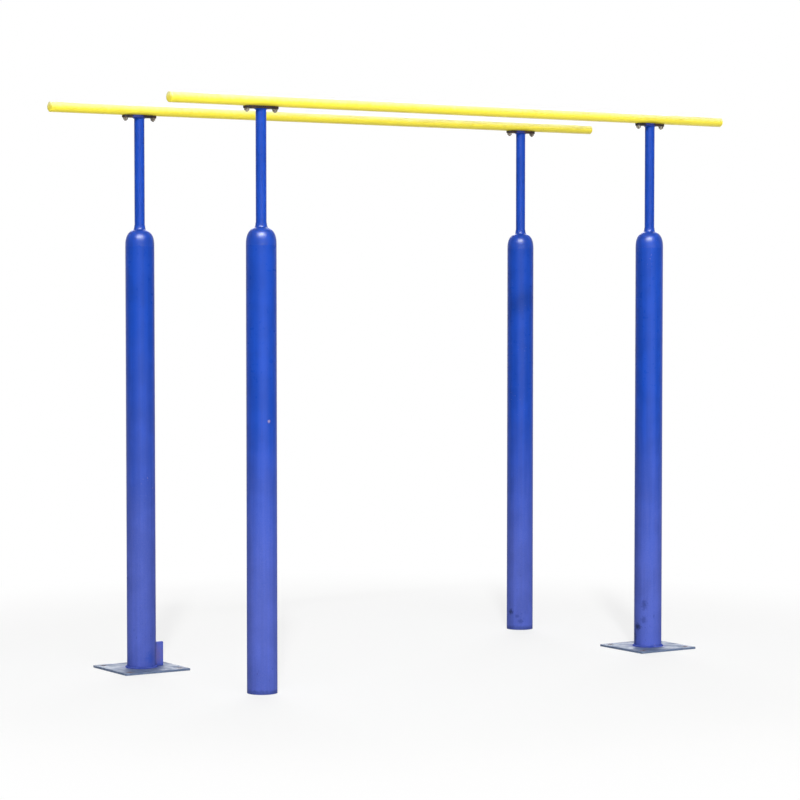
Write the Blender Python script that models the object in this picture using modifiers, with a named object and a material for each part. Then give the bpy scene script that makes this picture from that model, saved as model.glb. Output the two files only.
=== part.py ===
"""Outdoor parallel bars: two round bars, each carried by two domed posts through bolted saddle joints."""
import math

import bmesh
import bpy
from mathutils import Matrix

# Layout in metres: X runs along the bars, Y across them, Z up from the ground
BAR_TOP_HEIGHT = 2.105
BAR_LENGTH = 2.670
BAR_SPACING = 0.765
POST_SPACING = 1.890

# Gap between faces that touch on the real object
SEAT_GAP = 0.0003

# Bars, and the closed plugs in their ends
BAR_DIAMETER = 0.038
BAR_WALL = 0.003
BAR_CAP_RIM = 0.0025
BAR_CAP_CROWN = 0.0020
BAR_PLUG_LENGTH = 0.016
BAR_PLUG_WALL = 0.0025

# Posts
POST_DIAMETER = 0.108
POST_WALL = 0.004
POST_TUBE_TOP = 1.582
DOME_HEIGHT = 0.065
DOME_WALL = 0.004

# How square the dome's shoulder is, as the power in its curve: 2 is an ellipse
DOME_POWER = 2.5

# Stems, their neck collars on the domes and their guides inside the posts
STEM_DIAMETER = 0.038
STEM_WALL = 0.003
STEM_DEPTH_IN_POST = 0.300
COLLAR_HEIGHT = 0.016
COLLAR_FOOT_WIDTH = 0.0055
COLLAR_LIP_WIDTH = 0.0008
GUIDE_THICKNESS = 0.008
GUIDE_ABOVE_STEM_END = 0.030

# Saddle joint: a flange on the stem under a saddle plate on the bar, with one outline
SADDLE_THICKNESS = 0.004
CRADLE_DEPTH = 0.0015
FLANGE_THICKNESS = 0.005
JOINT_MIDDLE_WIDTH = 0.052
JOINT_END_WIDTH = 0.026
FASTENER_SPACING = 0.122

# Studs and their flanged nuts
STUD_DIAMETER = 0.010
STUD_TIP_CHAMFER = 0.001
STUD_BELOW_NUT = 0.004
FLANGE_HOLE_DIAMETER = 0.011
NUT_ACROSS_FLATS = 0.016
NUT_HEIGHT = 0.0085
NUT_COLLAR_DIAMETER = 0.0215
NUT_COLLAR_THICKNESS = 0.002
NUT_CORNER_CHAMFER = 0.0012

# Base plates of the two posts that have one, with a fillet round the post
BASE_SIDE = 0.270
BASE_THICKNESS = 0.008
BASE_FILLET = 0.006
BASE_FILLET_ROOT = 0.001
ANCHOR_HOLE_DIAMETER = 0.016
ANCHOR_INSET = 0.030

# Turn of the base plates about their posts, away from the line of the bars
BASE_TURN = math.radians(-6)

# Upright gusset at the foot of the rear left post
GUSSET_REACH = 0.036
GUSSET_HEIGHT = 0.090
GUSSET_THICKNESS = 0.008
GUSSET_FILLET_CLEARANCE = 0.003

# Closing discs in the feet of the two posts without a base plate
FOOT_DISC_THICKNESS = 0.006

# Faces round each turned shape
ROUND_STEPS = 32
FASTENER_STEPS = 12
DOME_STEPS = 7
COLLAR_STEPS = 3
ARC_STEPS = 4

# Length of a cutter beyond the piece that it goes through
CUTTER_OVERRUN = 0.010

# Heights and radii that follow from the sizes above
BAR_RADIUS = BAR_DIAMETER / 2
BAR_AXIS_HEIGHT = BAR_TOP_HEIGHT - BAR_RADIUS
POST_RADIUS = POST_DIAMETER / 2
POST_BORE_RADIUS = POST_RADIUS - POST_WALL
STEM_RADIUS = STEM_DIAMETER / 2
STEM_SEAT_RADIUS = STEM_RADIUS + SEAT_GAP
STUD_RADIUS = STUD_DIAMETER / 2
STUD_SEAT_RADIUS = STUD_RADIUS + SEAT_GAP
CRADLE_RADIUS = BAR_RADIUS + SEAT_GAP
CRADLE_BOTTOM = BAR_AXIS_HEIGHT - CRADLE_RADIUS
SADDLE_TOP = CRADLE_BOTTOM + CRADLE_DEPTH
SADDLE_BOTTOM = SADDLE_TOP - SADDLE_THICKNESS
FLANGE_TOP = SADDLE_BOTTOM - SEAT_GAP
FLANGE_BOTTOM = FLANGE_TOP - FLANGE_THICKNESS
NUT_TOP = FLANGE_BOTTOM - SEAT_GAP
STUD_BOTTOM = NUT_TOP - NUT_HEIGHT - STUD_BELOW_NUT
DOME_BOTTOM = POST_TUBE_TOP + SEAT_GAP
STEM_BOTTOM = POST_TUBE_TOP - STEM_DEPTH_IN_POST
PLATED_POST_BOTTOM = BASE_THICKNESS + SEAT_GAP

# Corners: name, side along X, side along Y, and whether the post has a base plate
CORNERS = (
    ("front_left", -1, -1, False),
    ("front_right", 1, -1, True),
    ("rear_left", -1, 1, True),
    ("rear_right", 1, 1, False),
)
GUSSET_CORNER = "rear_left"

# Finishes: colour, roughness and metallic value
FINISHES = {
    "post_paint": ((0.030, 0.095, 0.480), 0.32, 0.0),
    "bar_paint": ((0.920, 0.820, 0.090), 0.35, 0.0),
    "joint_steel": ((0.045, 0.036, 0.030), 0.60, 0.6),
    "fastener_steel": ((0.330, 0.310, 0.280), 0.48, 0.9),
    "plate_steel": ((0.260, 0.330, 0.390), 0.52, 0.7),
    "inner_steel": ((0.180, 0.175, 0.170), 0.55, 0.8),
}
SMOOTH_ANGLE = math.radians(35)


def collection(name):
    """A collection linked to the scene."""
    found = bpy.data.collections.new(name)
    bpy.context.scene.collection.children.link(found)
    return found


def finish(name):
    """The material of one finish, made on its first use."""
    if name in bpy.data.materials:
        return bpy.data.materials[name]
    colour, roughness, metallic = FINISHES[name]
    material = bpy.data.materials.new(name)
    material.use_nodes = True
    shader = material.node_tree.nodes["Principled BSDF"]
    shader.inputs["Base Color"].default_value = (*colour, 1.0)
    shader.inputs["Roughness"].default_value = roughness
    shader.inputs["Metallic"].default_value = metallic
    return material


def settled_mesh(scratch):
    """The evaluated mesh of a scratch object, welded and shaded smooth, with the scratch object removed."""
    bpy.context.view_layer.update()
    evaluated = scratch.evaluated_get(bpy.context.evaluated_depsgraph_get())
    mesh = bpy.data.meshes.new_from_object(evaluated)
    mesh.name = scratch.name
    bpy.data.objects.remove(scratch)
    shape = bmesh.new()
    shape.from_mesh(mesh)
    bmesh.ops.remove_doubles(shape, verts=shape.verts, dist=1e-6)
    shape.to_mesh(mesh)
    shape.free()
    mesh.shade_smooth()
    mesh.set_sharp_from_angle(angle=SMOOTH_ANGLE)
    return mesh


def turned(name, profile, closed, steps=ROUND_STEPS):
    """A body turned about Z from (radius, height) points that run down its outer side."""
    count = len(profile)
    edges = [(i, i + 1) for i in range(count - 1)]
    if closed:
        edges.append((count - 1, 0))
    line = bpy.data.meshes.new(name + "_profile")
    line.from_pydata([(radius, 0.0, height) for radius, height in profile], edges, [])
    scratch = bpy.data.objects.new(name, line)
    bpy.context.scene.collection.objects.link(scratch)
    screw = scratch.modifiers.new("turn", "SCREW")
    screw.steps = steps
    screw.render_steps = steps
    screw.use_merge_vertices = True
    screw.merge_threshold = 1e-6
    return settled_mesh(scratch)


def ring(name, outer, inner, bottom, top, steps=ROUND_STEPS):
    """A plain turned ring, or a tube when it is tall."""
    profile = [(outer, top), (outer, bottom), (inner, bottom), (inner, top)]
    return turned(name, profile, True, steps)


def disc(name, radius, bottom, top, steps=ROUND_STEPS):
    """A solid turned disc, or a rod when it is tall."""
    return turned(name, [(0, top), (radius, top), (radius, bottom), (0, bottom)], False, steps)


def circle_points(radius, steps, centre_x=0.0, centre_y=0.0):
    """Points round a circle, with the first one at +X as on the turned bodies."""
    angles = [2 * math.pi * i / steps for i in range(steps)]
    return [(centre_x + radius * math.cos(a), centre_y + radius * math.sin(a)) for a in angles]


def plate(name, outline, holes, bottom, top):
    """A flat plate cut from an outline with holes."""
    curve = bpy.data.curves.new(name, "CURVE")
    curve.dimensions = "2D"
    curve.fill_mode = "BOTH"
    curve.extrude = (top - bottom) / 2
    for points in (outline, *holes):
        spline = curve.splines.new("POLY")
        spline.points.add(len(points) - 1)
        for point, (x, y) in zip(spline.points, points):
            point.co = (x, y, 0.0, 1.0)
        spline.use_cyclic_u = True
    scratch = bpy.data.objects.new(name, curve)
    bpy.context.scene.collection.objects.link(scratch)
    mesh = settled_mesh(scratch)
    mesh.transform(Matrix.Translation((0, 0, (bottom + top) / 2)))
    return mesh


def cutter(name, mesh, location=(0, 0, 0), rotation=(0, 0, 0)):
    """A hidden body that cuts, trims or joins another."""
    body = bpy.data.objects.new(name, mesh)
    body.location = location
    body.rotation_euler = rotation
    body.hide_render = True
    body.display_type = "WIRE"
    cutters.objects.link(body)
    return body


def combined(name, mesh, steps):
    """A body's mesh after a list of Boolean operations, each given as an operation and a cutter."""
    scratch = bpy.data.objects.new(name, mesh)
    bpy.context.scene.collection.objects.link(scratch)
    for operation, other in steps:
        boolean = scratch.modifiers.new(operation.lower(), "BOOLEAN")
        boolean.operation = operation
        boolean.object = other
    return settled_mesh(scratch)


def placed(name, mesh, slot, parent=None, location=(0, 0, 0), rotation=(0, 0, 0)):
    """One named sub-part with its finish, placed under its parent."""
    part = bpy.data.objects.new(name, mesh)
    part.location = location
    part.rotation_euler = rotation
    part.parent = parent
    if not mesh.materials:
        mesh.materials.append(finish(slot))
    parts.objects.link(part)
    return part


def empty(name, location):
    """A point that the pieces of one post or bar hang from."""
    point = bpy.data.objects.new(name, None)
    point.location = location
    point.empty_display_size = 0.1
    parts.objects.link(point)
    return point


def dome_height_at(radius):
    """Height of the dome's outer face at a distance from the post's axis."""
    return DOME_BOTTOM + DOME_HEIGHT * (1 - (radius / POST_RADIUS) ** DOME_POWER) ** (1 / DOME_POWER)


def dome_curve(radius, rise):
    """Points on a dome from the edge of its hole down to its rim, closest together at its shoulder."""
    bend = 2 / DOME_POWER
    hole_angle = math.acos((STEM_SEAT_RADIUS / radius) ** (1 / bend))
    angles = [hole_angle * (1 - i / DOME_STEPS) for i in range(DOME_STEPS + 1)]
    return [(radius * math.cos(a) ** bend, DOME_BOTTOM + rise * math.sin(a) ** bend) for a in angles]


def dome_cap_mesh():
    """The domed cap: a shell with rounded shoulders and a hole for the stem."""
    outer = dome_curve(POST_RADIUS, DOME_HEIGHT)
    inner = dome_curve(POST_RADIUS - DOME_WALL, DOME_HEIGHT - DOME_WALL)
    return turned("dome_cap", outer + inner[::-1], True)


def neck_collar_mesh():
    """The flared collar on the dome: a hollow fillet outside, the dome's own curve underneath."""
    foot_radius = STEM_SEAT_RADIUS + COLLAR_FOOT_WIDTH
    lip_radius = STEM_SEAT_RADIUS + COLLAR_LIP_WIDTH
    foot_height = dome_height_at(foot_radius) + SEAT_GAP
    seat_height = dome_height_at(STEM_SEAT_RADIUS) + SEAT_GAP
    top = foot_height + COLLAR_HEIGHT
    angles = [math.pi / 2 * i / COLLAR_STEPS for i in range(COLLAR_STEPS + 1)]
    flare = [
        (foot_radius - (foot_radius - lip_radius) * math.cos(a), top - COLLAR_HEIGHT * math.sin(a))
        for a in angles
    ]
    seat = [(STEM_SEAT_RADIUS, seat_height), (STEM_SEAT_RADIUS, top)]
    return turned("neck_collar", flare + seat, True)


def joint_outline():
    """The outline of flange and saddle: wide at the stem, drawn in to a round end at each stud."""
    middle = JOINT_MIDDLE_WIDTH / 2
    end = JOINT_END_WIDTH / 2
    reach = FASTENER_SPACING / 2
    tangent = math.acos((middle - end) / reach)
    points = []
    for side, first in ((1, -tangent), (-1, math.pi - tangent)):
        for i in range(ARC_STEPS * 2 + 1):
            angle = first + 2 * tangent * i / (ARC_STEPS * 2)
            points.append((side * reach + end * math.cos(angle), end * math.sin(angle)))
        for i in range(ARC_STEPS + 1):
            start = first + 2 * tangent
            angle = start + (math.pi - 2 * tangent) * i / ARC_STEPS
            points.append((middle * math.cos(angle), middle * math.sin(angle)))
    return points


def stud_holes(radius):
    """The two holes of a joint plate."""
    return [circle_points(radius, FASTENER_STEPS, side * FASTENER_SPACING / 2) for side in (-1, 1)]


def stem_flange_mesh():
    """The flange welded round the top of the stem."""
    holes = [circle_points(STEM_SEAT_RADIUS, ROUND_STEPS)] + stud_holes(FLANGE_HOLE_DIAMETER / 2)
    return plate("stem_flange", joint_outline(), holes, FLANGE_BOTTOM, FLANGE_TOP)


def bar_saddle_mesh():
    """The saddle plate welded under the bar, hollowed along its top where the bar lies."""
    holes = stud_holes(STUD_SEAT_RADIUS)
    blank = plate("bar_saddle_blank", joint_outline(), holes, SADDLE_BOTTOM, SADDLE_TOP)
    half_length = (FASTENER_SPACING + JOINT_END_WIDTH) / 2 + CUTTER_OVERRUN
    rod = disc("cradle", CRADLE_RADIUS, -half_length, half_length)
    cradle = cutter("cradle_cutter", rod, (0, 0, BAR_AXIS_HEIGHT), (0, math.pi / 2, 0))
    return combined("bar_saddle", blank, [("DIFFERENCE", cradle)])


def stud_mesh():
    """A stud from just under the bar to its chamfered tip below the nut."""
    tip = STUD_RADIUS - STUD_TIP_CHAMFER
    profile = [
        (0, CRADLE_BOTTOM),
        (STUD_RADIUS, CRADLE_BOTTOM),
        (STUD_RADIUS, STUD_BOTTOM + STUD_TIP_CHAMFER),
        (tip, STUD_BOTTOM),
        (0, STUD_BOTTOM),
    ]
    return turned("joint_stud", profile, False, FASTENER_STEPS)


def flange_nut_mesh():
    """A hexagon nut with its round collar on top and a chamfer round its lower corners."""
    corner_radius = NUT_ACROSS_FLATS / math.sqrt(3)
    collar_radius = NUT_COLLAR_DIAMETER / 2
    bottom = NUT_TOP - NUT_HEIGHT
    collar_bottom = NUT_TOP - NUT_COLLAR_THICKNESS
    hexagon = disc("nut_hexagon", corner_radius, bottom, collar_bottom, 6)
    envelope_profile = [
        (0, NUT_TOP),
        (collar_radius, NUT_TOP),
        (collar_radius, bottom + NUT_CORNER_CHAMFER),
        (corner_radius, bottom + NUT_CORNER_CHAMFER),
        (corner_radius - 2 * NUT_CORNER_CHAMFER, bottom),
        (0, bottom),
    ]
    collar_profile = [
        (0, NUT_TOP),
        (collar_radius, NUT_TOP),
        (collar_radius, collar_bottom),
        (NUT_ACROSS_FLATS / 2, collar_bottom - NUT_COLLAR_THICKNESS),
        (0, collar_bottom - NUT_COLLAR_THICKNESS),
    ]
    envelope = cutter("nut_envelope", turned("nut_envelope", envelope_profile, False, FASTENER_STEPS))
    collar = cutter("nut_collar", turned("nut_collar", collar_profile, False, FASTENER_STEPS))
    bore_bottom = bottom - CUTTER_OVERRUN
    bore_rod = disc("nut_bore", STUD_SEAT_RADIUS, bore_bottom, NUT_TOP + CUTTER_OVERRUN, FASTENER_STEPS)
    bore = cutter("nut_bore", bore_rod)
    steps = [("INTERSECT", envelope), ("UNION", collar), ("DIFFERENCE", bore)]
    return combined("flange_nut", hexagon, steps)


def base_plate_mesh():
    """A square plate with four anchor holes and a fillet whose faces line up with those of the post."""
    half = BASE_SIDE / 2
    outline = [(half, half), (-half, half), (-half, -half), (half, -half)]
    centre = half - ANCHOR_INSET
    holes = [
        circle_points(ANCHOR_HOLE_DIAMETER / 2, FASTENER_STEPS, x * centre, y * centre)
        for x in (-1, 1)
        for y in (-1, 1)
    ]
    blank = plate("base_plate_blank", outline, holes, 0.0, BASE_THICKNESS)
    inner = POST_RADIUS + SEAT_GAP
    fillet_profile = [
        (inner, BASE_THICKNESS + BASE_FILLET),
        (inner + BASE_FILLET, BASE_THICKNESS),
        (inner + BASE_FILLET, BASE_THICKNESS - BASE_FILLET_ROOT),
        (inner, BASE_THICKNESS - BASE_FILLET_ROOT),
    ]
    fillet_ring = turned("base_fillet", fillet_profile, True)
    fillet = cutter("base_fillet", fillet_ring, rotation=(0, 0, -BASE_TURN))
    return combined("base_plate", blank, [("UNION", fillet)])


def foot_gusset_mesh():
    """The upright gusset: a rectangle with its inner lower corner cut off over the fillet."""
    inner = POST_RADIUS + SEAT_GAP
    outer = POST_RADIUS + GUSSET_REACH
    bottom = BASE_THICKNESS + SEAT_GAP
    top = bottom + GUSSET_HEIGHT
    corner_cut = BASE_FILLET + GUSSET_FILLET_CLEARANCE
    outline = [
        (inner + corner_cut, bottom),
        (outer, bottom),
        (outer, top),
        (inner, top),
        (inner, bottom + corner_cut),
    ]
    mesh = plate("foot_gusset", outline, [], -GUSSET_THICKNESS / 2, GUSSET_THICKNESS / 2)
    mesh.transform(Matrix.Rotation(math.pi / 2, 4, "X"))
    return mesh


def bar_cap_mesh():
    """The closed end of a bar: a low crown outside the tube and a hollow plug inside it."""
    plug_radius = BAR_RADIUS - BAR_WALL - SEAT_GAP
    plug_bore = plug_radius - BAR_PLUG_WALL
    rim_top = SEAT_GAP + BAR_CAP_RIM
    profile = [
        (0, rim_top + BAR_CAP_CROWN),
        (BAR_RADIUS, rim_top),
        (BAR_RADIUS, SEAT_GAP),
        (plug_radius, SEAT_GAP),
        (plug_radius, -BAR_PLUG_LENGTH),
        (plug_bore, -BAR_PLUG_LENGTH),
        (plug_bore, SEAT_GAP),
        (0, SEAT_GAP),
    ]
    return turned("bar_end_cap", profile, False)


def build_posts():
    """The four posts with everything that hangs from them, up to their nuts."""
    dome_cap = dome_cap_mesh()
    neck_collar = neck_collar_mesh()
    stem_tube = ring("stem_tube", STEM_RADIUS, STEM_RADIUS - STEM_WALL, STEM_BOTTOM, FLANGE_TOP)
    guide_bottom = STEM_BOTTOM + GUIDE_ABOVE_STEM_END
    guide_top = guide_bottom + GUIDE_THICKNESS
    stem_guide = ring("stem_guide", POST_BORE_RADIUS - SEAT_GAP, STEM_SEAT_RADIUS, guide_bottom, guide_top)
    stem_flange = stem_flange_mesh()
    bar_saddle = bar_saddle_mesh()
    stud = stud_mesh()
    nut = flange_nut_mesh()
    base_plate = base_plate_mesh()
    foot_disc = disc("foot_disc", POST_BORE_RADIUS - SEAT_GAP, 0.0, FOOT_DISC_THICKNESS)
    plated_tube = ring("plated_post_tube", POST_RADIUS, POST_BORE_RADIUS, PLATED_POST_BOTTOM, POST_TUBE_TOP)
    plain_tube = ring("plain_post_tube", POST_RADIUS, POST_BORE_RADIUS, 0.0, POST_TUBE_TOP)

    for corner, side_x, side_y, has_plate in CORNERS:
        post = empty("post_" + corner, (side_x * POST_SPACING / 2, side_y * BAR_SPACING / 2, 0))
        placed("post_tube_" + corner, plated_tube if has_plate else plain_tube, "post_paint", post)
        placed("dome_cap_" + corner, dome_cap, "post_paint", post)
        placed("neck_collar_" + corner, neck_collar, "post_paint", post)
        placed("stem_tube_" + corner, stem_tube, "post_paint", post)
        placed("stem_guide_" + corner, stem_guide, "inner_steel", post)
        placed("stem_flange_" + corner, stem_flange, "joint_steel", post)
        placed("bar_saddle_" + corner, bar_saddle, "joint_steel", post)
        if has_plate:
            placed("base_plate_" + corner, base_plate, "plate_steel", post, rotation=(0, 0, BASE_TURN))
        else:
            placed("foot_disc_" + corner, foot_disc, "inner_steel", post)
        if corner == GUSSET_CORNER:
            gusset = foot_gusset_mesh()
            placed("foot_gusset_" + corner, gusset, "post_paint", post, rotation=(0, 0, BASE_TURN))
        for end, side in (("outer", side_x), ("inner", -side_x)):
            location = (side * FASTENER_SPACING / 2, 0, 0)
            placed(f"joint_stud_{corner}_{end}", stud, "fastener_steel", post, location)
            placed(f"flange_nut_{corner}_{end}", nut, "fastener_steel", post, location)


def build_bars():
    """The two bars with the caps in their ends."""
    half = BAR_LENGTH / 2 - BAR_CAP_CROWN - BAR_CAP_RIM - SEAT_GAP
    bar_tube = ring("bar_tube", BAR_RADIUS, BAR_RADIUS - BAR_WALL, -half, half)
    end_cap = bar_cap_mesh()
    for name, side_y in (("front", -1), ("rear", 1)):
        bar = empty("bar_" + name, (0, side_y * BAR_SPACING / 2, BAR_AXIS_HEIGHT))
        placed("bar_tube_" + name, bar_tube, "bar_paint", bar, (0, 0, 0), (0, math.pi / 2, 0))
        for end, side_x in (("left", -1), ("right", 1)):
            cap_name = f"bar_end_cap_{name}_{end}"
            location = (side_x * half, 0, 0)
            rotation = (0, side_x * math.pi / 2, 0)
            placed(cap_name, end_cap, "bar_paint", bar, location, rotation)


for existing in list(bpy.data.objects):
    bpy.data.objects.remove(existing)
parts = collection("outdoor_parallel_bars")
cutters = collection("cutters")
build_posts()
build_bars()
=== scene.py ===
"""Outdoor parallel bars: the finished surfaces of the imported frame, with its camera, light and floor."""
import math
import random

import bmesh
import bpy
from mathutils import Euler, Matrix, Vector


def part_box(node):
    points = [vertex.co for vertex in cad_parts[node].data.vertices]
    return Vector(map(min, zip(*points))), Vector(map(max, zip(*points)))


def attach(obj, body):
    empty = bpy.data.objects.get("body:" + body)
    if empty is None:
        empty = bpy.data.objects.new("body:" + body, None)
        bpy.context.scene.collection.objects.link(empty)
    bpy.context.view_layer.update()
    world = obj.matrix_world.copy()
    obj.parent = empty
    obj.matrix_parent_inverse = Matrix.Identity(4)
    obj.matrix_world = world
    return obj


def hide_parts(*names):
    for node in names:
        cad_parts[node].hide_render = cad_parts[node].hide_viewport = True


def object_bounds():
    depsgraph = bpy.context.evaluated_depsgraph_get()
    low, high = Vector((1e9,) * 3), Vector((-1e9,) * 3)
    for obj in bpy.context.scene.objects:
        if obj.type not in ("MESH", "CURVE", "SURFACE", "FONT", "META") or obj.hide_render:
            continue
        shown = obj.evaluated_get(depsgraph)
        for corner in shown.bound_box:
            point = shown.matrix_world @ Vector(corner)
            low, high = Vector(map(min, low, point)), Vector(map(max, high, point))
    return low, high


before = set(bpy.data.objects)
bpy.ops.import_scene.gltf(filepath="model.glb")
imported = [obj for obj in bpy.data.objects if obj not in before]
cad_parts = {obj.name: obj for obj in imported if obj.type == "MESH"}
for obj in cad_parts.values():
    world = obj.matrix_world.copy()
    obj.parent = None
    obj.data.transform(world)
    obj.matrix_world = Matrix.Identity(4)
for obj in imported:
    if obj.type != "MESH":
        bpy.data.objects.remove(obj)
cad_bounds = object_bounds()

# Camera, where the photographer stood, in the frame's metres
CAMERA_PLACE = (-6.776, -8.352, 1.495)
CAMERA_YAW = math.radians(39.02)
CAMERA_DOWNWARD_TILT = math.radians(2.66)
CAMERA_LENS = 126.2

# Distant lamps: bearing round the object from its front, elevation, angular size and strength
KEY_LAMP = (math.radians(-38), math.radians(38), math.radians(3), 1.45)
BACK_LAMP = (math.radians(142), math.radians(30), math.radians(40), 2.10)

# Where the distant lamps hang, which doesn't change their light
LAMP_DISTANCE = 8.0

# Softboxes: bearing, elevation, distance, width, height, power, and whether they light more than the gloss
SOFTBOXES = {
    "high_softbox": (math.radians(-35), math.radians(47), 9.0, 9.0, 0.45, 240.0, True),
    "front_softbox": (math.radians(-22), math.radians(6), 14.0, 18.6, 2.8, 1080.0, True),
    "gloss_softbox": (math.radians(-38), math.radians(50), 9.0, 6.5, 1.2, 3400.0, False),
}

# Strength of the white surround as light, and as it is seen
AMBIENT_STRENGTH = 0.04
SEEN_STRENGTH = 1.0

# Floor: its colour as it is seen and as it lights the object, its size, and where it fades to white
FLOOR_SEEN = (0.90, 0.90, 0.89)
FLOOR_BOUNCE = (0.57, 0.57, 0.56)
FLOOR_DROP = 0.0005
FLOOR_SIZE = 80.0
FLOOR_FADE_START = 1.6
FLOOR_FADE_END = 3.2
FLOOR_LIFT = 0.74

# Corners of the set: name, and the heights where the dust on the paint is full and where it ends
CORNERS = {
    "front_left": (0.22, 1.12),
    "front_right": (0.12, 1.10),
    "rear_left": (0.16, 1.34),
    "rear_right": (0.08, 1.02),
}
PLATED = ("front_right", "rear_left")
GUSSET_CORNER = "rear_left"
BARS = ("front", "rear")
ENDS = ("inner", "outer")
BAR_ENDS = {"left": -1, "right": 1}

# What a box alone doesn't tell of the solids: sizes in metres, the dome's curve and the plates' turn
SEAT_GAP = 0.0003
POST_WALL = 0.004
DOME_WALL = 0.004
DOME_POWER = 2.5
STEM_WALL = 0.003
BAR_WALL = 0.003
PLUG_LENGTH = 0.016
COLLAR_LIP_WIDTH = 0.0008
JOINT_END_RADIUS = 0.013
FLANGE_HOLE_RADIUS = 0.0055
NUT_ACROSS_FLATS = 0.016
BASE_TURN = math.radians(-6)
ANCHOR_RADIUS = 0.008
ANCHOR_INSET = 0.030
GUSSET_CORNER_CUT = 0.009

# Facets of the fine round pieces
ROUND_SEGMENTS = 96
SLIM_SEGMENTS = 64
HOLE_SEGMENTS = 40
THREAD_SEGMENTS = 36
NUT_SEGMENTS = 72
DOME_RINGS = 28
FLARE_RINGS = 14
CROWN_RINGS = 12
BEAD_SIDES = 10
JOINT_END_STEPS = 24
JOINT_SIDE_STEPS = 12
PLATE_CORNER_STEPS = 6
GUSSET_CORNER_STEPS = 5
THREAD_ROWS_PER_TURN = 8

# Edges that turn by more than this angle stay sharp, and points nearer than this become one
SMOOTH_ANGLE = math.radians(38)
SAME_POINT = 1e-6

# Details that the solids leave out, in metres
EDGE_ROUND = 0.0008
TUBE_EDGE_ROUND = 0.0005
PLATE_CORNER_RADIUS = 0.004
GUSSET_CORNER_RADIUS = 0.003
CROWN_EDGE = 0.0014
CROWN_TIP_RADIUS = 0.00042
THREAD_PITCH = 0.0015
THREAD_DEPTH = 0.0009
STUD_TIP_RUN = 0.0016
STUD_TIP_DEPTH = 0.00144
BEAD_STEP = 0.0011
RIPPLE_LENGTH = 0.0042
SEAM_BEAD = 0.0007
FLANGE_BEAD = 0.0024
FOOT_BEAD = 0.0042
GUSSET_BEAD = 0.0032
SADDLE_BEAD = 0.0018
SADDLE_BEAD_END = 0.016

# Shape factors: a thread's flanks and crest, a bead's ripple, chance and taper, and a bar end's roundness
THREAD_STEEPNESS = 1.15
THREAD_CREST_FLAT = 0.08
BEAD_RIPPLE = 0.13
BEAD_CHANCE = 0.05
BEAD_TAPER = 0.35
CROWN_POWER = 0.6

# Where a bead's middle lies off the faces that it joins, as shares of its radius: outward, then up or down
SEAM_BEAD_SUNK = 0.45
FLANGE_BEAD_OFF = (0.45, 0.40)
FOOT_BEAD_OFF = (0.40, 0.30)
SADDLE_BEAD_OFF = (0.60, 0.30)

# Paint colours, as linear values
BLUE_CLEAN = (0.009, 0.061, 0.428)
BLUE_DUSTY = (0.083, 0.118, 0.472)
BLUE_SCUFF = (0.018, 0.032, 0.140)
BLUE_MARK = (0.014, 0.025, 0.090)
# Painted shade: the posts' blue darkened, for paint that lies in the shade under a bar
BLUE_OVERRUN_SHADED = (0.020, 0.034, 0.210)
BLUE_FADED = (0.125, 0.112, 0.330)
# Painted highlight: a pale blue for the weld beside the gusset
BLUE_WELD_HIGHLIGHT = (0.230, 0.240, 0.540)
# A darker blue for the foot of a post welded to a base plate
BLUE_FOOT_DARK = (0.014, 0.040, 0.270)
YELLOW_CLEAN = (0.970, 0.820, 0.055)
# Painted highlight: a pale yellow for the upper part of the bars
YELLOW_TOP_HIGHLIGHT = (0.970, 0.920, 0.420)
YELLOW_SHADE = (0.950, 0.800, 0.050)
YELLOW_WORN = (0.860, 0.730, 0.090)
YELLOW_SCRATCH = (0.390, 0.325, 0.060)
# A darker yellow for a thin strip along the bottom of the bars
YELLOW_UNDERSIDE_DARK = (0.350, 0.310, 0.100)
PRIMER = (0.420, 0.330, 0.340)

# Metal colours, as linear values
RUST = (0.160, 0.060, 0.025)
JOINT_DARK = (0.018, 0.015, 0.016)
JOINT_RUST = (0.085, 0.040, 0.022)
ZINC = (0.400, 0.370, 0.300)
ZINC_CLOUD = (0.280, 0.255, 0.215)
ZINC_STAIN = (0.100, 0.062, 0.042)
PLATE_STEEL = (0.103, 0.148, 0.255)
PLATE_FOG = (0.086, 0.126, 0.224)
PLATE_PALE = (0.171, 0.223, 0.326)
PLATE_DIRT = (0.090, 0.090, 0.105)
INNER_STEEL = (0.180, 0.175, 0.170)

# The side of the object that the photograph shows, as an angle round Z
PHOTO_SIDE = math.radians(-129)

# Marks on the posts: colour, strength, degrees from the photographed side, height, size and tallness
MARKS = {
    # Dark spots low on the post, near the ground
    "rear_right": (
        (BLUE_MARK, 0.80, -46, 0.075, 0.018, 1.0),
        (BLUE_SCUFF, 0.35, -16, 0.057, 0.016, 0.8),
        (BLUE_SCUFF, 0.35, 0, 0.036, 0.018, 0.8),
    ),
    # Dark spots low on the post, near the ground
    "front_right": (
        (BLUE_SCUFF, 0.55, -20, 0.176, 0.018, 1.5),
        (BLUE_SCUFF, 0.42, -22, 0.116, 0.018, 1.2),
        (BLUE_MARK, 0.90, -54, 0.088, 0.026, 0.7),
        (BLUE_MARK, 0.60, -72, 0.045, 0.016, 2.4),
    ),
    "front_left": ((PRIMER, 0.85, 31, 0.964, 0.007, 1.0),),
    "rear_left": (
        (BLUE_FADED, 0.80, 123, 0.050, 0.055, 1.2),
        # Painted highlight: a pale streak up the gusset's weld on the post
        (BLUE_WELD_HIGHLIGHT, 0.60, 114, 0.055, 0.012, 3.5),
        # A darker spot on the post beside the gusset
        (BLUE_CLEAN, 0.45, 44, 0.045, 0.032, 1.3),
    ),
}

# How the paint darkens at the foot of a post: more strongly on a post welded to a base plate, less on the
# others
FOOT_DARKENING = {True: (BLUE_FOOT_DARK, 0.85), False: (BLUE_MARK, 0.45)}

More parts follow.
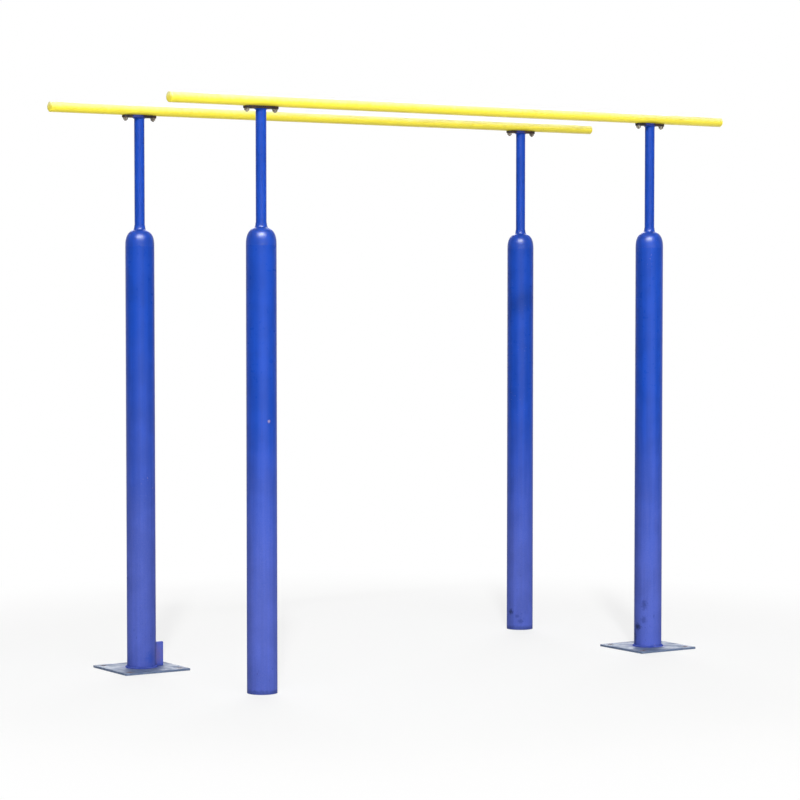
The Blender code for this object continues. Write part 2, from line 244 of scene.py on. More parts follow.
# Shine and roughness of the paint and depth of its waves, on the posts and on the glossier domes
POST_SPECULAR = 0.10
DOME_SPECULAR = 0.17
POST_ROUGHNESS = 0.30
POST_WAVES = 0.0006
DOME_ROUGHNESS = 0.35
DOME_WAVES = 0.0002
DOME_GLOSS_RISE = 0.030
DUST_ROUGHNESS = 0.28

# Depth of the finishes' relief, in metres
PAINT_GRAIN = 0.0001
CHIP_DEPTH = 0.0002
BAR_WAVES = 0.00016
BAR_GRAIN = 0.00004
SCRATCH_DEPTH = 0.0001
JOINT_PITS = 0.0004
JOINT_GRAIN = 0.00025
ZINC_GRAIN = 0.00006
STAIN_DEPTH = 0.00005
PLATE_WAVES = 0.0008
CRYSTAL_DEPTH = 0.00004
PLATE_GRAIN = 0.00008
INNER_GRAIN = 0.0001

# Roughness of the finishes, from their smoother to their rougher places, and its spread on the posts
POST_ROUGHNESS_SPREAD = (-0.03, 0.04)
BAR_ROUGHNESS = (0.28, 0.36)
JOINT_ROUGHNESS = (0.42, 0.82)
ZINC_ROUGHNESS = (0.42, 0.75)
PLATE_ROUGHNESS = (0.50, 0.70)
INNER_ROUGHNESS = (0.45, 0.80)

# How far soil and overspray reach on a base plate and rust round its holes, in radii of the post or the hole
SOIL_REACH = 1.75
OVERSPRAY_REACH = 1.55
HOLE_RUST_REACH = 2.4

# Size of the patch where the stem's blue paint runs over the edge of its joint, painted darker as shade under
# the bar, and that patch's distance
SHADED_PAINT_PATCH_SIZE = {"front_left": 0.0, "front_right": 0.023, "rear_left": 0.025, "rear_right": 0.021}
SHADED_PAINT_PATCH_REACH = 0.030

# How each nut happens to stand
NUT_TURN_FIRST = math.radians(17)
NUT_TURN_STEP = math.radians(23)


def span(node, axis):
    """Lowest and highest coordinate of a node of the frame along one axis."""
    low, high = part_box(node)
    return low[axis], high[axis]


def middle(node):
    """The centre of a node's box."""
    low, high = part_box(node)
    return (low + high) / 2


def radius_of(node, axis=0):
    """Half the size of a round node across its axis."""
    low, high = span(node, axis)
    return (high - low) / 2


def unturned_sizes(node):
    """Length and width of a rectangular node that stands turned with its base plate, from its box."""
    low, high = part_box(node)
    wide = high.x - low.x
    deep = high.y - low.y
    cosine = math.cos(BASE_TURN)
    sine = abs(math.sin(BASE_TURN))
    scale = cosine**2 - sine**2
    return (wide * cosine - deep * sine) / scale, (deep * cosine - wide * sine) / scale


# Meshes

def mesh_from(shape, name):
    """A smooth mesh with sharp edges kept, from a bmesh that is then freed."""
    bmesh.ops.recalc_face_normals(shape, faces=shape.faces)
    mesh = bpy.data.meshes.new(name)
    shape.to_mesh(mesh)
    shape.free()
    mesh.shade_smooth()
    mesh.set_sharp_from_angle(angle=SMOOTH_ANGLE)
    return mesh


def skinned(name, rings, closed=False):
    """A body through a row of rings, each a list of as many points, capped at both ends unless it closes."""
    shape = bmesh.new()
    loops = [[shape.verts.new(point) for point in ring] for ring in rings]
    pairs = list(zip(loops, loops[1:]))
    if closed:
        pairs.append((loops[-1], loops[0]))
    else:
        shape.faces.new(loops[0])
        shape.faces.new(loops[-1])
    for one, other in pairs:
        for i in range(len(one)):
            j = (i + 1) % len(one)
            shape.faces.new((one[i], one[j], other[j], other[i]))
    return mesh_from(shape, name)


def circle(radius, height, segments):
    """Points of one ring about Z."""
    angles = [2 * math.pi * i / segments for i in range(segments)]
    return [(radius * math.cos(a), radius * math.sin(a), height) for a in angles]


def turned(name, profile, segments, closed=True):
    """A body turned about Z from (radius, height) points."""
    return skinned(name, [circle(r, z, segments) for r, z in profile], closed)


def arc(centre, radius, start, end, steps):
    """Points along an arc."""
    angles = [start + (end - start) * i / steps for i in range(steps + 1)]
    return [(centre[0] + radius * math.cos(a), centre[1] + radius * math.sin(a)) for a in angles]


def rounded(corners, size, steps=3):
    """A closed profile with each of its corners rounded by a curve of about that size."""
    points = []
    count = len(corners)
    for i, corner in enumerate(corners):
        here = Vector(corner)
        before = (Vector(corners[i - 1]) - here).normalized() * size
        after = (Vector(corners[(i + 1) % count]) - here).normalized() * size
        for step in range(steps + 1):
            t = step / steps
            points.append(tuple(here + before * (1 - t) ** 2 + after * t**2))
    return points


def tube_profile(outer, inner, bottom, top):
    """The wall of a tube with eased edges."""
    return rounded([(outer, top), (outer, bottom), (inner, bottom), (inner, top)], TUBE_EDGE_ROUND)


def evaluated_mesh(scratch, name):
    """The mesh of a scratch object with its modifiers, which is then removed."""
    bpy.context.scene.collection.objects.link(scratch)
    bpy.context.view_layer.update()
    graph = bpy.context.evaluated_depsgraph_get()
    mesh = bpy.data.meshes.new_from_object(scratch.evaluated_get(graph))
    bpy.data.objects.remove(scratch)
    shape = bmesh.new()
    shape.from_mesh(mesh)
    bmesh.ops.remove_doubles(shape, verts=shape.verts, dist=SAME_POINT)
    bpy.data.meshes.remove(mesh)
    return mesh_from(shape, name)


def plate(name, outline, holes, thickness):
    """A flat plate with holes and rounded edges, lying from its middle plane both ways."""
    curve = bpy.data.curves.new(name, "CURVE")
    curve.dimensions = "2D"
    curve.fill_mode = "BOTH"
    curve.extrude = thickness / 2 - EDGE_ROUND
    curve.bevel_depth = EDGE_ROUND
    curve.bevel_resolution = 2
    curve.offset = -EDGE_ROUND
    for points in (outline, *holes):
        spline = curve.splines.new("POLY")
        spline.points.add(len(points) - 1)
        for point, place in zip(spline.points, points):
            point.co = (place[0], place[1], 0.0, 1.0)
        spline.use_cyclic_u = True
    return evaluated_mesh(bpy.data.objects.new(name, curve), name)


def round_hole(radius, x=0.0, y=0.0):
    """A hole for a plate, as (x, y) points."""
    return [(x + px, y + py) for px, py, _ in circle(radius, 0.0, HOLE_SEGMENTS)]


def bead(name, path, radius, closed=False, seed=1):
    """A weld bead along a path, rippled as the molten metal set, thinning out at open ends."""
    chance = random.Random(seed)
    count = len(path)
    length = 0.0
    rings = []
    for i, point in enumerate(path):
        before = path[i - 1] if closed or i > 0 else point
        after = path[(i + 1) % count] if closed or i < count - 1 else point
        along = (after - before).normalized()
        upright = abs(along.z) > 0.9
        side = (along.orthogonal() if upright else along.cross(Vector((0, 0, 1)))).normalized()
        up = side.cross(along).normalized()
        length += (point - path[i - 1]).length if i > 0 else 0.0
        ripple = 1 + BEAD_RIPPLE * math.cos(2 * math.pi * length / RIPPLE_LENGTH)
        ripple += chance.uniform(-BEAD_CHANCE, BEAD_CHANCE)
        taper = 1.0 if closed else min(1.0, BEAD_TAPER + BEAD_TAPER * min(i, count - 1 - i))
        size = radius * ripple * taper
        angles = [2 * math.pi * k / BEAD_SIDES for k in range(BEAD_SIDES)]
        rings.append([point + side * size * math.cos(a) + up * size * math.sin(a) for a in angles])
    return skinned(name, rings, closed)


def ring_path(radius, height):
    """A circular path for a bead round a post or stem, with a whole number of ripples."""
    ripples = round(2 * math.pi * radius / RIPPLE_LENGTH)
    steps = ripples * round(RIPPLE_LENGTH / BEAD_STEP)
    return [Vector(point) for point in circle(radius, height, steps)]


def line_path(start, end):
    """A straight path for a bead."""
    start = Vector(start)
    end = Vector(end)
    steps = max(4, round((end - start).length / BEAD_STEP))
    return [start.lerp(end, i / steps) for i in range(steps + 1)]


# Materials

class Finish:
    """One material, with short calls for the nodes that the finishes share. Places are in metres."""

    def __init__(self, name, specular=0.5, metallic=0.0):
        self.material = bpy.data.materials.new(name)
        self.material.use_nodes = True
        self.nodes = self.material.node_tree.nodes
        self.links = self.material.node_tree.links
        self.shader = self.nodes["Principled BSDF"]
        self.shader.inputs["Specular IOR Level"].default_value = specular
        self.shader.inputs["Metallic"].default_value = metallic
        self.place = self.nodes.new("ShaderNodeTexCoord").outputs["Object"]
        split = self.nodes.new("ShaderNodeSeparateXYZ")
        self.links.new(self.place, split.inputs[0])
        self.height = split.outputs["Z"]

    def feed(self, socket, value):
        """Links an output to a socket, or sets the socket to a number or a colour."""
        if isinstance(value, bpy.types.NodeSocket):
            self.links.new(value, socket)
        elif isinstance(value, tuple) and len(value) == 3 and len(socket.default_value) == 4:
            socket.default_value = (*value, 1.0)
        else:
            socket.default_value = value

    def vector(self, operation, one, other=(0.0, 0.0, 0.0)):
        """The node of an operation on two vectors."""
        node = self.nodes.new("ShaderNodeVectorMath")
        node.operation = operation
        self.feed(node.inputs[0], one)
        self.feed(node.inputs[1], other)
        return node

    def scaled(self, x, y, z):
        """The place stretched by a factor along each axis."""
        return self.vector("MULTIPLY", self.place, (x, y, z)).outputs["Vector"]

    def noise(self, scale, detail=3.0, roughness=0.5, at=None):
        """Smooth noise from 0 to 1, mostly near 0.5."""
        node = self.nodes.new("ShaderNodeTexNoise")
        self.feed(node.inputs["Vector"], at or self.place)
        node.inputs["Scale"].default_value = scale
        node.inputs["Detail"].default_value = detail
        node.inputs["Roughness"].default_value = roughness
        return node.outputs["Fac"]

    def cells(self, scale):
        """A random grey for each cell of a crystal-like pattern."""
        node = self.nodes.new("ShaderNodeTexVoronoi")
        self.feed(node.inputs["Vector"], self.place)
        node.inputs["Scale"].default_value = scale
        split = self.nodes.new("ShaderNodeSeparateColor")
        self.feed(split.inputs[0], node.outputs["Color"])
        return split.outputs[0]

    def maths(self, operation, one, other=0.0):
        """A sum, product or other operation on two numbers."""
        node = self.nodes.new("ShaderNodeMath")
        node.operation = operation
        self.feed(node.inputs[0], one)
        self.feed(node.inputs[1], other)
        return node.outputs[0]

    def swing(self, value, amount):
        """A noise's swing about its middle, times an amount."""
        return self.maths("MULTIPLY", self.maths("SUBTRACT", value, 0.5), amount)

    def step(self, value, low, high, to_low=0.0, to_high=1.0):
        """A smooth step from one value to another as the input goes from low to high."""
        node = self.nodes.new("ShaderNodeMapRange")
        node.interpolation_type = "SMOOTHSTEP"
        self.feed(node.inputs["Value"], value)
        for socket, number in zip(("From Min", "From Max", "To Min", "To Max"), (low, high, to_low, to_high)):
            node.inputs[socket].default_value = number
        return node.outputs["Result"]

    def blend(self, factor, one, other):
        """A colour between two colours."""
        node = self.nodes.new("ShaderNodeMix")
        node.data_type = "RGBA"
        self.feed(node.inputs["Factor"], factor)
        self.feed(node.inputs[6], one)
        self.feed(node.inputs[7], other)
        return node.outputs[2]

    def near(self, place, size, tall=1.0, core=0.45):
        """A soft-edged spot that is 1 at a place and 0 past its size, with a ragged rim."""
        offset = self.vector("SUBTRACT", self.place, place).outputs["Vector"]
        shaped = self.vector("MULTIPLY", offset, (1.0, 1.0, 1.0 / tall)).outputs["Vector"]
        distance = self.vector("LENGTH", shaped).outputs["Value"]
        distance = self.maths("ADD", distance, self.swing(self.noise(140.0, 4.0), size * 1.2))
        return self.step(distance, size * core, size, 1.0, 0.0)

    def bumps(self, *layers):
        """Relief from (height, depth in metres) layers, one on another."""
        normal = None
        for height, depth in layers:
            node = self.nodes.new("ShaderNodeBump")
            node.inputs["Strength"].default_value = 1.0
            node.inputs["Distance"].default_value = depth
            self.feed(node.inputs["Height"], height)
            if normal:
                self.feed(node.inputs["Normal"], normal)
            normal = node.outputs["Normal"]
        self.feed(self.shader.inputs["Normal"], normal)

    def done(self, colour, roughness):
        """The material, with its colour and roughness."""
        self.feed(self.shader.inputs["Base Color"], colour)
        self.feed(self.shader.inputs["Roughness"], roughness)
        return self.material


def on_post(corner, bearing, height):
    """A place on the face of a post, by degrees from the photographed side, positive to the right."""
    post = "post_tube_" + corner
    angle = PHOTO_SIDE + math.radians(bearing)
    centre = middle(post)
    radius = radius_of(post)
    return (centre.x + radius * math.cos(angle), centre.y + radius * math.sin(angle), height)


def post_dust(finish, corner):
    """How dusty the paint is: full near the ground, ending further up in runs and patches, speckled."""
    full, end = CORNERS[corner]
    patches = finish.swing(finish.noise(5.0, 3.0), 0.25)
    runs = finish.swing(finish.noise(1.0, 3.0, 0.6, finish.scaled(55.0, 55.0, 2.2)), 0.30)
    level = finish.maths("ADD", finish.height, finish.maths("ADD", patches, runs))
    speckle = finish.step(finish.noise(240.0, 5.0, 0.65), 0.42, 0.60, 0.82, 1.0)
    return finish.maths("MULTIPLY", finish.step(level, full, end, 1.0, 0.0), speckle)


def blue_paint(corner, part, specular, roughness, waves):
    """Blue on part of one post, with its own roughness above the seam: dusty, scuffed and marked low down."""
    finish = Finish(f"blue_paint_{part}_{corner}", specular=specular)
    dust = post_dust(finish, corner)
    streaks = finish.noise(1.0, 3.0, 0.55, finish.scaled(62.0, 62.0, 0.9))
    cloud = finish.maths("ADD", finish.noise(9.0, 2.0), finish.swing(streaks, 0.9))
    shade = finish.step(cloud, 0.30, 0.70, 0.90, 1.06)
    shaded = finish.vector("SCALE", finish.blend(dust, BLUE_CLEAN, BLUE_DUSTY))
    finish.feed(shaded.inputs["Scale"], shade)
    colour = shaded.outputs["Vector"]
    rubbed = finish.step(finish.noise(1.0, 5.0, 0.7, finish.scaled(95.0, 95.0, 34.0)), 0.62, 0.70)
    low = finish.step(finish.height, 0.04, 0.34, 0.50, 0.0)
    colour = finish.blend(finish.maths("MULTIPLY", rubbed, low), colour, BLUE_SCUFF)
    for kind, strength, bearing, height, size, tall in MARKS.get(corner, ()):
        spot = finish.near(on_post(corner, bearing, height), size, tall, core=0.1)
        colour = finish.blend(finish.maths("MULTIPLY", spot, strength), colour, kind)
    # The paint darkens towards the foot of the post, within about 20 mm of its lowest edge
    ragged = finish.maths("ADD", finish.height, finish.swing(finish.noise(70.0, 4.0), 0.016))
    kind, strength = FOOT_DARKENING[corner in PLATED]
    colour = finish.blend(finish.step(ragged, 0.006, 0.020, strength, 0.0), colour, kind)
    clusters = finish.step(finish.noise(2.6, 2.0), 0.50, 0.62)
    chips = finish.step(finish.noise(170.0, 4.0, 0.6), 0.705, 0.725)
    chips = finish.maths("MULTIPLY", chips, clusters)
    colour = finish.blend(chips, colour, PRIMER)
    finish.bumps(
        (finish.noise(26.0, 2.0), waves),
        (finish.noise(520.0, 1.5), PAINT_GRAIN),
        (finish.maths("SUBTRACT", 1.0, chips), CHIP_DEPTH),
    )
    seam = span("post_tube_" + corner, 2)[1]
    base = finish.step(finish.height, seam, seam + DOME_GLOSS_RISE, POST_ROUGHNESS, roughness)
    uneven = finish.step(finish.noise(60.0, 3.0), 0.3, 0.7, *POST_ROUGHNESS_SPREAD)
    matt = finish.maths("ADD", base, uneven)
    return finish.done(colour, finish.maths("ADD", matt, finish.maths("MULTIPLY", dust, DUST_ROUGHNESS)))


def yellow_paint(bar):
    """Gloss yellow on a bar: painted lighter towards the top as a highlight, rubbed dull where hands hold it,
    scratched, darker along the bottom.
    """
    finish = Finish("yellow_paint_" + bar, specular=0.35)
    uneven = finish.step(finish.noise(7.0, 3.0), 0.35, 0.65)
    colour = finish.blend(uneven, YELLOW_CLEAN, YELLOW_SHADE)
    bottom, top = span("bar_tube_" + bar, 2)
    # Painted highlight: the bar is blended to a pale yellow from low on its side up to its top
    level = finish.maths("ADD", finish.height, finish.swing(finish.noise(60.0, 3.0), 0.010))
    top_highlight = finish.step(level, bottom + 0.014, top - 0.001)
    colour = finish.blend(top_highlight, colour, YELLOW_TOP_HIGHLIGHT)
    handled = finish.step(finish.noise(1.0, 4.0, 0.6, finish.scaled(5.0, 40.0, 40.0)), 0.52, 0.70, 0.0, 0.25)
    colour = finish.blend(handled, colour, YELLOW_WORN)
    lines = finish.noise(1.0, 4.0, 0.65, finish.scaled(30.0, 620.0, 620.0))
    scratches = finish.step(lines, 0.685, 0.715, 0.0, 0.55)
    colour = finish.blend(scratches, colour, YELLOW_SCRATCH)
    # A thin darker strip along the very bottom of the bar
    darker_below = finish.step(finish.height, bottom, bottom + 0.004, 0.08, 0.0)
    colour = finish.blend(darker_below, colour, YELLOW_UNDERSIDE_DARK)
    chips = finish.step(finish.noise(150.0, 4.0, 0.6), 0.725, 0.745)
    colour = finish.blend(chips, colour, RUST)
    finish.bumps(
        (finish.noise(30.0, 2.0), BAR_WAVES),
        (finish.noise(600.0, 1.5), BAR_GRAIN),
        (finish.maths("SUBTRACT", 1.0, finish.maths("ADD", chips, scratches)), SCRATCH_DEPTH),
    )
    gloss = finish.step(finish.noise(45.0, 3.0), 0.3, 0.7, *BAR_ROUGHNESS)
    return finish.done(colour, finish.maths("ADD", gloss, handled))


def joint_steel(corner):
    """The two plates of a joint: near black with brown rust, and blue where paint ran over them, that blue
    painted dark as shade under the bar.
    """
    finish = Finish("joint_steel_" + corner, specular=0.12)
    patches = finish.step(finish.noise(46.0, 5.0, 0.62), 0.46, 0.60)
    grain = finish.step(finish.noise(380.0, 4.0, 0.6), 0.35, 0.70, 0.35, 1.0)
    rust = finish.maths("MULTIPLY", patches, grain)
    colour = finish.blend(rust, JOINT_DARK, JOINT_RUST)
    size = SHADED_PAINT_PATCH_SIZE[corner]
    if size:
        facing = Vector((math.cos(PHOTO_SIDE), math.sin(PHOTO_SIDE), 0))
        shaded_patch = middle("stem_flange_" + corner) + facing * SHADED_PAINT_PATCH_REACH
        paint = finish.near(tuple(shaded_patch), size, core=0.7)
        # Painted shade: the overrun is a darker copy of the post's blue, for the shade under the bar
        colour = finish.blend(paint, colour, BLUE_OVERRUN_SHADED)
    finish.bumps((finish.noise(90.0, 3.0), JOINT_PITS), (finish.noise(520.0, 3.0, 0.6), JOINT_GRAIN))
    return finish.done(colour, finish.step(rust, 0.0, 1.0, *JOINT_ROUGHNESS))


def weathered_zinc():
    """The nuts and studs: dull zinc with brown stains in the thread and on the flats."""
    finish = Finish("fastener_zinc", specular=0.4, metallic=0.35)
    stain = finish.step(finish.noise(190.0, 5.0, 0.62), 0.44, 0.60)
    cloudy = finish.step(finish.noise(420.0, 3.0), 0.3, 0.7)
    colour = finish.blend(cloudy, ZINC, ZINC_CLOUD)
    colour = finish.blend(stain, colour, ZINC_STAIN)
    finish.bumps((finish.noise(900.0, 3.0), ZINC_GRAIN), (stain, STAIN_DEPTH))
    return finish.done(colour, finish.step(stain, 0.0, 1.0, *ZINC_ROUGHNESS))


def galvanised_plate(corner):
    """A base plate: blue-grey zinc in broad crystals, scuffed, with soil by the post and rusty holes."""
    finish = Finish("galvanised_steel_" + corner, specular=0.15)
    crystals = finish.cells(95.0)
    fog = finish.step(finish.noise(24.0, 4.0, 0.6), 0.35, 0.65)
    colour = finish.blend(crystals, PLATE_STEEL, PLATE_PALE)
    colour = finish.blend(finish.maths("MULTIPLY", fog, 0.55), colour, PLATE_FOG)
    scuffs = finish.step(finish.noise(1.0, 5.0, 0.65, finish.scaled(60.0, 190.0, 60.0)), 0.60, 0.70, 0.0, 0.6)
    colour = finish.blend(scuffs, colour, PLATE_DIRT)
    post = "post_tube_" + corner
    centre = middle(post)
    soil = finish.near((centre.x, centre.y, 0.0), radius_of(post) * SOIL_REACH)
    colour = finish.blend(finish.maths("MULTIPLY", soil, 0.5), colour, PLATE_DIRT)
    overspray = finish.near((centre.x, centre.y, 0.0), radius_of(post) * OVERSPRAY_REACH, core=0.68)
    colour = finish.blend(finish.maths("MULTIPLY", overspray, 0.6), colour, BLUE_DUSTY)
    turn = Matrix.Rotation(BASE_TURN, 3, "Z")
    for x, y in anchor_offsets(corner):
        hole = centre + turn @ Vector((x, y, 0))
        ring = finish.near((hole.x, hole.y, 0.0), ANCHOR_RADIUS * HOLE_RUST_REACH)
        colour = finish.blend(finish.maths("MULTIPLY", ring, 0.7), colour, RUST)
    finish.bumps(
        (finish.noise(55.0, 3.0), PLATE_WAVES),
        (crystals, CRYSTAL_DEPTH),
        (finish.noise(700.0, 3.0), PLATE_GRAIN),
    )
    return finish.done(colour, finish.step(fog, 0.0, 1.0, *PLATE_ROUGHNESS))


def bare_steel():
    """The guides and discs inside the posts: mill-finish steel with a light bloom of rust."""
    finish = Finish("inner_steel", specular=0.4, metallic=0.6)
    bloom = finish.step(finish.noise(60.0, 5.0, 0.6), 0.50, 0.68)
    colour = finish.blend(bloom, INNER_STEEL, RUST)
    finish.bumps((finish.noise(400.0, 3.0), INNER_GRAIN))
    return finish.done(colour, finish.step(bloom, 0.0, 1.0, *INNER_ROUGHNESS))


# Pieces

def piece(name, mesh, slot, material, *nodes, place=(0, 0, 0), rotation=(0, 0, 0)):
    """One shown piece, with its place and turn worked into its mesh, standing for the nodes named."""
    mesh.transform(Matrix.LocRotScale(Vector(place), Euler(rotation), None))
    mesh.materials.clear()
    mesh.materials.append(material)
    shown = bpy.data.objects.new(name, mesh)
    bpy.context.scene.collection.objects.link(shown)
    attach(shown, "root")
    if nodes:
        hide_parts(*nodes)


def dome_profile(corner):
    """The dome's shell, with rounded shoulders outside and inside, open at the neck for the stem."""
    node = "dome_cap_" + corner
    bottom, neck_height = span(node, 2)
    outer = radius_of(node)
    hole = radius_of("stem_tube_" + corner) + SEAT_GAP
    bend = 2 / DOME_POWER
    rise = (neck_height - bottom) / (1 - (hole / outer) ** DOME_POWER) ** (1 / DOME_POWER)
    points = []
    for radius, height, order in ((outer, rise, 1), (outer - DOME_WALL, rise - DOME_WALL, -1)):
        limit = math.acos((hole / radius) ** (1 / bend))
        angles = [limit * (1 - i / DOME_RINGS) for i in range(DOME_RINGS + 1)]
        curve = [(radius * math.cos(a) ** bend, bottom + height * math.sin(a) ** bend) for a in angles]
        points += curve[::order]
    return points


def collar_profile(corner):
    """The neck collar: a hollow flare from the stem down onto the dome."""
    low, high = span("neck_collar_" + corner, 2)
    foot = radius_of("neck_collar_" + corner)
    seat = radius_of("stem_tube_" + corner) + SEAT_GAP
    lip = seat + COLLAR_LIP_WIDTH
    angles = [math.pi / 2 * i / FLARE_RINGS for i in range(FLARE_RINGS + 1)]
    flare = [(foot - (foot - lip) * math.cos(a), high - (high - low) * math.sin(a)) for a in angles]
    return [(seat, high)] + flare + [(seat, low)]


def joint_outline(node):
    """The outline of flange and saddle, wide at the stem and drawn in to a round end at each stud."""
    low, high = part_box(node)
    wide = (high.y - low.y) / 2
    reach = (high.x - low.x) / 2 - JOINT_END_RADIUS
    tangent = math.acos((wide - JOINT_END_RADIUS) / reach)
    points = []
    for side, turn in ((1, 0.0), (-1, math.pi)):
        points += arc((side * reach, 0), JOINT_END_RADIUS, turn - tangent, turn + tangent, JOINT_END_STEPS)
        points += arc((0, 0), wide, turn + tangent, turn + math.pi - tangent, JOINT_SIDE_STEPS)
    return points


def stud_offsets(corner):
    """Distances along X from a joint's middle to its two studs."""
    centre = middle("stem_flange_" + corner)
    return [middle(f"joint_stud_{corner}_{end}").x - centre.x for end in ENDS]


def flange_mesh(corner):
    """The stem flange, with its holes for stem and studs."""
    node = "stem_flange_" + corner
    low, high = span(node, 2)
    stem = radius_of("stem_tube_" + corner) + SEAT_GAP
    holes = [round_hole(stem)] + [round_hole(FLANGE_HOLE_RADIUS, x) for x in stud_offsets(corner)]
    return plate("stem_flange", joint_outline(node), holes, high - low)


def saddle_mesh(corner, bar):
    """The saddle plate, hollowed along its top so that the bar lies in it."""
    node = "bar_saddle_" + corner
    low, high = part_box(node)
    stud = radius_of(f"joint_stud_{corner}_inner") + SEAT_GAP
    holes = [round_hole(stud, x) for x in stud_offsets(corner)]
    blank = plate("bar_saddle_blank", joint_outline(node), holes, high.z - low.z)
    cradle_radius = radius_of("bar_tube_" + bar, 1) + SEAT_GAP
    length = high.x - low.x
    rod = turned("cradle", [(cradle_radius, -length), (cradle_radius, length)], SLIM_SEGMENTS, closed=False)
    cradle = bpy.data.objects.new("cradle", rod)
    cradle.rotation_euler = (0, math.pi / 2, 0)
    cradle.location.z = middle("bar_tube_" + bar).z - middle(node).z
    bpy.context.scene.collection.objects.link(cradle)
    scratch = bpy.data.objects.new("bar_saddle", blank)
    cut = scratch.modifiers.new("cradle", "BOOLEAN")
    cut.operation = "DIFFERENCE"
    cut.object = cradle
    mesh = evaluated_mesh(scratch, "bar_saddle")
    bpy.data.objects.remove(cradle)
    return mesh


def thread_radius(crest, height, angle):
    """Radius of a right-hand screw thread at a height and angle."""
    phase = (height / THREAD_PITCH - angle / (2 * math.pi)) % 1.0
    ridge = abs(2 * phase - 1)
    return crest - THREAD_DEPTH * min(1.0, max(0.0, THREAD_STEEPNESS * ridge - THREAD_CREST_FLAT))


def stud_mesh(corner):
    """A threaded stud with a chamfered tip below and a plain top."""
    node = f"joint_stud_{corner}_inner"
    low, high = span(node, 2)
    crest = radius_of(node)
    half = (high - low) / 2
    rows = round(2 * half / THREAD_PITCH * THREAD_ROWS_PER_TURN)
    rings = [circle(crest - STUD_TIP_DEPTH, -half, THREAD_SEGMENTS)]
    for row in range(1, rows):
        height = -half + 2 * half * row / rows
        limit = crest - STUD_TIP_DEPTH * (1 - min(1.0, (height + half) / STUD_TIP_RUN))
        ring = []
        for x, y, _ in circle(1.0, 0.0, THREAD_SEGMENTS):
            radius = min(limit, thread_radius(crest, height, math.atan2(y, x)))
            ring.append((radius * x, radius * y, height))
        rings.append(ring)
    rings.append(circle(crest - THREAD_DEPTH, half, THREAD_SEGMENTS))
    return skinned("threaded_stud", rings)


def nut_mesh(corner):
    """A flanged hexagon nut: six flats with chamfered corners below, a sloped round collar above."""
    node = f"flange_nut_{corner}_inner"
    low, high = span(node, 2)
    half = (high - low) / 2
    collar = radius_of(node)
    flat = NUT_ACROSS_FLATS / 2
    tip = flat / math.cos(math.pi / 6)
    bore = radius_of(f"joint_stud_{corner}_inner") + SEAT_GAP
    # Each row is the largest radius, the height and the distance of the flats
    rows = [
        (bore + 0.0007, -half, bore + 0.0007),
        (flat * 0.93, -half, flat * 0.93),
        (flat * 0.97, -half + 0.0001, flat * 0.97),
        (flat, -half + 0.0004, flat + 0.0002),
        (tip, -half + 0.0013, flat),
        (tip, half - 0.0038, flat),
        (tip, half - 0.0033, flat + 0.0003),
        (collar - 0.0009, half - 0.0021, collar - 0.0009),
        (collar, half - 0.0015, collar),
        (collar, half - 0.0003, collar),
        (collar - 0.0003, half, collar - 0.0003),
        (bore + 0.0006, half, bore + 0.0006),
        (bore, half - 0.0006, bore),
        (bore, -half + 0.0007, bore),
    ]
    rings = []
    for limit, height, across in rows:
        ring = []
        for x, y, _ in circle(1.0, 0.0, NUT_SEGMENTS):
            turn = math.atan2(y, x) % (math.pi / 3) - math.pi / 6
            radius = min(limit, across / math.cos(turn)) if across < limit else limit
            ring.append((radius * x, radius * y, height))
        rings.append(ring)
    return skinned("flange_nut", rings, closed=True)


def build_post(corner):
    """One post from its foot to the weld under the flange on its stem."""
    paint = blue_paint(corner, "post", POST_SPECULAR, POST_ROUGHNESS, POST_WAVES)
    glossy = blue_paint(corner, "dome", DOME_SPECULAR, DOME_ROUGHNESS, DOME_WAVES)
    tube = "post_tube_" + corner
    stem = "stem_tube_" + corner
    place = middle(tube) * Vector((1, 1, 0))
    low, high = span(tube, 2)
    outer = radius_of(tube)
    wall = tube_profile(outer, outer - POST_WALL, low, high)
    piece("post_" + corner, turned(tube, wall, ROUND_SEGMENTS), "post_paint", paint, tube, place=place)
    dome = turned("dome", dome_profile(corner), ROUND_SEGMENTS)
    piece("dome_" + corner, dome, "post_paint", glossy, "dome_cap_" + corner, place=place)
    seam = bead("seam", ring_path(outer - SEAM_BEAD * SEAM_BEAD_SUNK, high), SEAM_BEAD, closed=True, seed=3)
    piece("dome_seam_" + corner, seam, "post_paint", paint, place=place)
    collar = turned("collar", collar_profile(corner), ROUND_SEGMENTS)
    piece("collar_" + corner, collar, "post_paint", glossy, "neck_collar_" + corner, place=place)
    low, high = span(stem, 2)
    slim = radius_of(stem)
    wall = tube_profile(slim, slim - STEM_WALL, low, high)
    piece("stem_" + corner, turned(stem, wall, SLIM_SEGMENTS), "post_paint", paint, stem, place=place)
    flange_bottom = span("stem_flange_" + corner, 2)[0]
    out, down = FLANGE_BEAD_OFF
    path = ring_path(slim + FLANGE_BEAD * out, flange_bottom - FLANGE_BEAD * down)
    weld = bead("flange_weld", path, FLANGE_BEAD, closed=True, seed=7)
    piece("flange_weld_" + corner, weld, "post_paint", paint, place=place)
    if corner in PLATED:
        build_foot(corner, paint, place)
    if corner == GUSSET_CORNER:
        build_gusset(corner, paint, place)


def anchor_offsets(corner):
    """The four anchor holes of a base plate, from its middle."""
    side, _ = unturned_sizes("base_plate_" + corner)
    inset = side / 2 - ANCHOR_INSET
    return [(x * inset, y * inset) for x in (-1, 1) for y in (-1, 1)]


